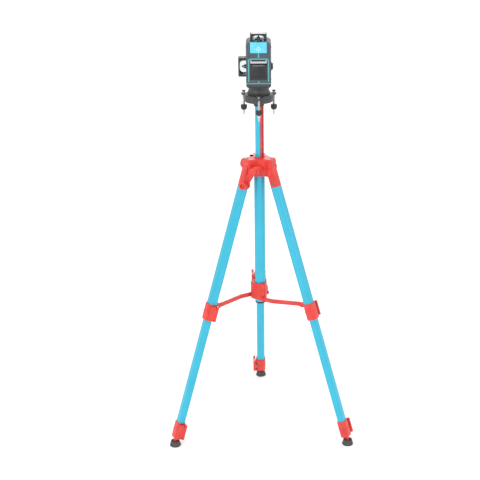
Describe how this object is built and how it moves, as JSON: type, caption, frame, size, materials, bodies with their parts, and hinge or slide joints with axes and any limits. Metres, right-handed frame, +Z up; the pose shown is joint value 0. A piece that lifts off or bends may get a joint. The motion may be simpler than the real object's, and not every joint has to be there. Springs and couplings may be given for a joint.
{
  "type": "laser level on tripod",
  "caption": "Self-levelling line laser on a levelling base, carried by the cranked column of a folding tripod with clamped telescopic legs and a spreader.",
  "frame": {"origin": "on the floor, under the axis of the column", "axes": "+Z up along the column, +Y along the rear leg, the battery side of the level faces -Y"},
  "size_m": [0.5302, 0.4702, 1.1605],
  "materials": {
    "blue_tube": "glossy blue powder coat on aluminium tube",
    "red_plastic": "moulded red plastic, satin to glossy",
    "red_lever": "moulded red plastic",
    "black_plastic": "fine-grained black plastic",
    "slate_housing": "dark slate moulded plastic with soft-touch texture",
    "dark_frame": "dark grey plastic",
    "rubber": "dark grey rubber",
    "steel": "bright turned steel",
    "bolt_steel": "dark plated steel",
    "brass": "turned brass",
    "alloy": "machined aluminium",
    "clear": "clear window",
    "vial": "yellow-green vial"
  },
  "bodies": {
    "stand": {"shoulder_casting": "red_plastic", "shoulder_cover": "red_plastic", "leg_pivot_bolts": "bolt_steel", "bubble_vial": "vial", "centre_tube": "blue_tube", "centre_tube_cap": "black_plastic"},
    "leg_rear": {"leg_casting_rear": "red_plastic", "upper_tube_rear": "blue_tube", "mid_collar_rear": "red_plastic"},
    "mid_lever_rear": {"mid_lever_rear": "red_lever"},
    "middle_rear": {"middle_tube_rear": "blue_tube", "lower_collar_rear": "red_plastic"},
    "lower_lever_rear": {"lower_lever_rear": "red_lever"},
    "lower_rear": {"lower_tube_rear": "blue_tube"},
    "foot_rear": {"rubber_foot_rear": "rubber"},
    "arm_rear": {"spreader_arm_rear": "red_plastic"},
    "leg_left": {"leg_casting_left": "red_plastic", "upper_tube_left": "blue_tube", "mid_collar_left": "red_plastic"},
    "mid_lever_left": {"mid_lever_left": "red_lever"},
    "middle_left": {"middle_tube_left": "blue_tube", "lower_collar_left": "red_plastic"},
    "lower_lever_left": {"lower_lever_left": "red_lever"},
    "lower_left": {"lower_tube_left": "blue_tube"},
    "foot_left": {"rubber_foot_left": "rubber"},
    "arm_left": {"spreader_arm_left": "red_plastic"},
    "leg_right": {"leg_casting_right": "red_plastic", "upper_tube_right": "blue_tube", "mid_collar_right": "red_plastic"},
    "mid_lever_right": {"mid_lever_right": "red_lever"},
    "middle_right": {"middle_tube_right": "blue_tube", "lower_collar_right": "red_plastic"},
    "lower_lever_right": {"lower_lever_right": "red_lever"},
    "lower_right": {"lower_tube_right": "blue_tube"},
    "foot_right": {"rubber_foot_right": "rubber"},
    "arm_right": {"spreader_arm_right": "red_plastic"},
    "hub": {"spreader_hub": "red_plastic"},
    "column": {"column_tube": "blue_tube", "column_rack": "red_plastic", "column_head": "black_plastic", "levelling_base": "dark_frame"},
    "crank": {"crank_shaft": "bolt_steel", "crank_arm": "red_plastic"},
    "crank_grip": {"crank_grip": "red_plastic"},
    "column_lock": {"column_lock_knob": "red_plastic"},
    "levelling_foot_back": {"levelling_foot_back": "steel"},
    "levelling_foot_right": {"levelling_foot_right": "steel"},
    "levelling_foot_left": {"levelling_foot_left": "steel"},
    "level": {"turntable": "dark_frame", "lower_housing": "slate_housing", "housing": "slate_housing", "window_frames": "dark_frame", "windows": "clear"},
    "gimbal": {"gimbal_ring": "alloy"},
    "pendulum": {"pendulum": "brass", "laser_modules": "dark_frame"},
    "battery": {"battery_pack": "black_plastic"},
    "battery_latch": {"battery_latch": "dark_frame"},
    "lock_switch": {"lock_switch": "black_plastic"},
    "power_button": {"power_button": "rubber"}
  },
  "joints": [
    {"name": "leg_fold_rear", "type": "hinge", "parent": "stand", "child": "leg_rear", "pos_m": [0, 0.036, 0.797], "axis": [-1, 0, 0], "range_deg": [0, 15]},
    {"name": "middle_slide_rear", "type": "slide", "parent": "leg_rear", "child": "middle_rear", "axis": [0, -0.3039, 0.9527], "range_m": [0, 0.3]},
    {"name": "lower_slide_rear", "type": "slide", "parent": "middle_rear", "child": "lower_rear", "axis": [0, 0.3039, -0.9527], "range_m": [0, 0.335]},
    {"name": "mid_lever_flip_rear", "type": "hinge", "parent": "leg_rear", "child": "mid_lever_rear", "pos_m": [-0.0218, 0.15643, 0.39142], "axis": [0, -0.3039, 0.9527], "range_deg": [0, 100]},
    {"name": "lower_lever_flip_rear", "type": "hinge", "parent": "middle_rear", "child": "lower_lever_rear", "pos_m": [-0.0201, 0.26673, 0.04558], "axis": [0, -0.3039, 0.9527], "range_deg": [0, 100]},
    {"name": "foot_swivel_rear", "type": "hinge", "parent": "lower_rear", "child": "foot_rear", "pos_m": [0, 0.287, 0.01], "axis": [-1, 0, 0], "range_deg": [-17, 12]},
    {"name": "arm_swing_rear", "type": "hinge", "parent": "leg_rear", "child": "arm_rear", "pos_m": [0, 0.13734, 0.40685], "axis": [-1, 0, 0], "range_deg": [0, 68.73]},
    {"name": "leg_fold_left", "type": "hinge", "parent": "stand", "child": "leg_left", "pos_m": [-0.03118, -0.018, 0.797], "axis": [0.5, -0.866, 0], "range_deg": [0, 15]},
    {"name": "middle_slide_left", "type": "slide", "parent": "leg_left", "child": "middle_left", "axis": [0.2631, 0.1519, 0.9527], "range_m": [0, 0.3]},
    {"name": "lower_slide_left", "type": "slide", "parent": "middle_left", "child": "lower_left", "axis": [-0.2631, -0.1519, -0.9527], "range_m": [0, 0.335]},
    {"name": "mid_lever_flip_left", "type": "hinge", "parent": "leg_left", "child": "mid_lever_left", "pos_m": [-0.12457, -0.0971, 0.39142], "axis": [0.2631, 0.1519, 0.9527], "range_deg": [0, 100]},
    {"name": "lower_lever_flip_left", "type": "hinge", "parent": "middle_left", "child": "lower_lever_left", "pos_m": [-0.22095, -0.15077, 0.04558], "axis": [0.2631, 0.1519, 0.9527], "range_deg": [0, 100]},
    {"name": "foot_swivel_left", "type": "hinge", "parent": "lower_left", "child": "foot_left", "pos_m": [-0.24855, -0.1435, 0.01], "axis": [0.5, -0.866, 0], "range_deg": [-17, 12]},
    {"name": "arm_swing_left", "type": "hinge", "parent": "leg_left", "child": "arm_left", "pos_m": [-0.11894, -0.06867, 0.40685], "axis": [0.5, -0.866, 0], "range_deg": [0, 68.73]},
    {"name": "leg_fold_right", "type": "hinge", "parent": "stand", "child": "leg_right", "pos_m": [0.03118, -0.018, 0.797], "axis": [0.5, 0.866, 0], "range_deg": [0, 15]},
    {"name": "middle_slide_right", "type": "slide", "parent": "leg_right", "child": "middle_right", "axis": [-0.2631, 0.1519, 0.9527], "range_m": [0, 0.3]},
    {"name": "lower_slide_right", "type": "slide", "parent": "middle_right", "child": "lower_right", "axis": [0.2631, -0.1519, -0.9527], "range_m": [0, 0.335]},
    {"name": "mid_lever_flip_right", "type": "hinge", "parent": "leg_right", "child": "mid_lever_right", "pos_m": [0.14637, -0.05934, 0.39142], "axis": [-0.2631, 0.1519, 0.9527], "range_deg": [0, 100]},
    {"name": "lower_lever_flip_right", "type": "hinge", "parent": "middle_right", "child": "lower_lever_right", "pos_m": [0.24105, -0.11596, 0.04558], "axis": [-0.2631, 0.1519, 0.9527], "range_deg": [0, 100]},
    {"name": "foot_swivel_right", "type": "hinge", "parent": "lower_right", "child": "foot_right", "pos_m": [0.24855, -0.1435, 0.01], "axis": [0.5, 0.866, 0], "range_deg": [-17, 12]},
    {"name": "arm_swing_right", "type": "hinge", "parent": "leg_right", "child": "arm_right", "pos_m": [0.11894, -0.06867, 0.40685], "axis": [0.5, 0.866, 0], "range_deg": [0, 68.73]},
    {"name": "hub_slide", "type": "slide", "parent": "stand", "child": "hub", "axis": [0, 0, 1], "range_m": [0, 0.10379]},
    {"name": "column_slide", "type": "slide", "parent": "stand", "child": "column", "axis": [0, 0, 1], "range_m": [-0.1, 0.13]},
    {"name": "crank_turn", "type": "hinge", "parent": "stand", "child": "crank", "pos_m": [0.01407, -0.00813, 0.797], "axis": [0.5, 0.866, 0], "range_deg": [-920, 1195]},
    {"name": "crank_grip_spin", "type": "hinge", "parent": "crank", "child": "crank_grip", "pos_m": [-0.04113, -0.05824, 0.7576], "axis": [-0.5, -0.866, 0], "continuous": true},
    {"name": "column_lock_turn", "type": "hinge", "parent": "stand", "child": "column_lock", "pos_m": [-0.02944, 0.017, 0.797], "axis": [-0.866, 0.5, 0], "range_deg": [0, 180]},
    {"name": "levelling_screw_back", "type": "slide", "parent": "column", "child": "levelling_foot_back", "axis": [0, 0, 1], "range_m": [-0.0038, 0.0038]},
    {"name": "levelling_screw_right", "type": "slide", "parent": "column", "child": "levelling_foot_right", "axis": [0, 0, 1], "range_m": [-0.0038, 0.0038]},
    {"name": "levelling_screw_left", "type": "slide", "parent": "column", "child": "levelling_foot_left", "axis": [0, 0, 1], "range_m": [-0.0038, 0.0038]},
    {"name": "level_turn", "type": "hinge", "parent": "column", "child": "level", "pos_m": [0, 0, 0.997], "axis": [0, 0, 1], "continuous": true},
    {"name": "gimbal_tilt", "type": "hinge", "parent": "level", "child": "gimbal", "pos_m": [0, 0, 1.112], "axis": [1, 0, 0], "range_deg": [-3.5, 3.5]},
    {"name": "pendulum_tilt", "type": "hinge", "parent": "gimbal", "child": "pendulum", "pos_m": [0, 0, 1.112], "axis": [0, 1, 0], "range_deg": [-3.5, 3.5]},
    {"name": "battery_slide", "type": "slide", "parent": "level", "child": "battery", "axis": [0, -1, 0], "range_m": [0, 0.05]},
    {"name": "battery_latch_press", "type": "slide", "parent": "level", "child": "battery_latch", "axis": [0, 0, -1], "range_m": [0, 0.003], "stiffness_N_per_m": 300, "springref_m": -0.002},
    {"name": "lock_switch_slide", "type": "slide", "parent": "level", "child": "lock_switch", "axis": [0, 0, -1], "range_m": [0, 0.008]},
    {"name": "power_button_press", "type": "slide", "parent": "level", "child": "power_button", "axis": [0, 0, -1], "range_m": [0, 0.0012], "stiffness_N_per_m": 500, "springref_m": -0.001}
  ],
  "couplings": [
    {"joint": "arm_swing_rear", "follows": "leg_fold_rear", "ratio": 4.5789},
    {"joint": "leg_fold_left", "follows": "leg_fold_rear", "ratio": 1},
    {"joint": "arm_swing_left", "follows": "leg_fold_rear", "ratio": 4.5789},
    {"joint": "leg_fold_right", "follows": "leg_fold_rear", "ratio": 1},
    {"joint": "arm_swing_right", "follows": "leg_fold_rear", "ratio": 4.5789},
    {"joint": "hub_slide", "follows": "leg_fold_rear", "m_per_rad": 0.39608},
    {"joint": "crank_turn", "follows": "column_slide", "rad_per_m": 160}
  ]
}
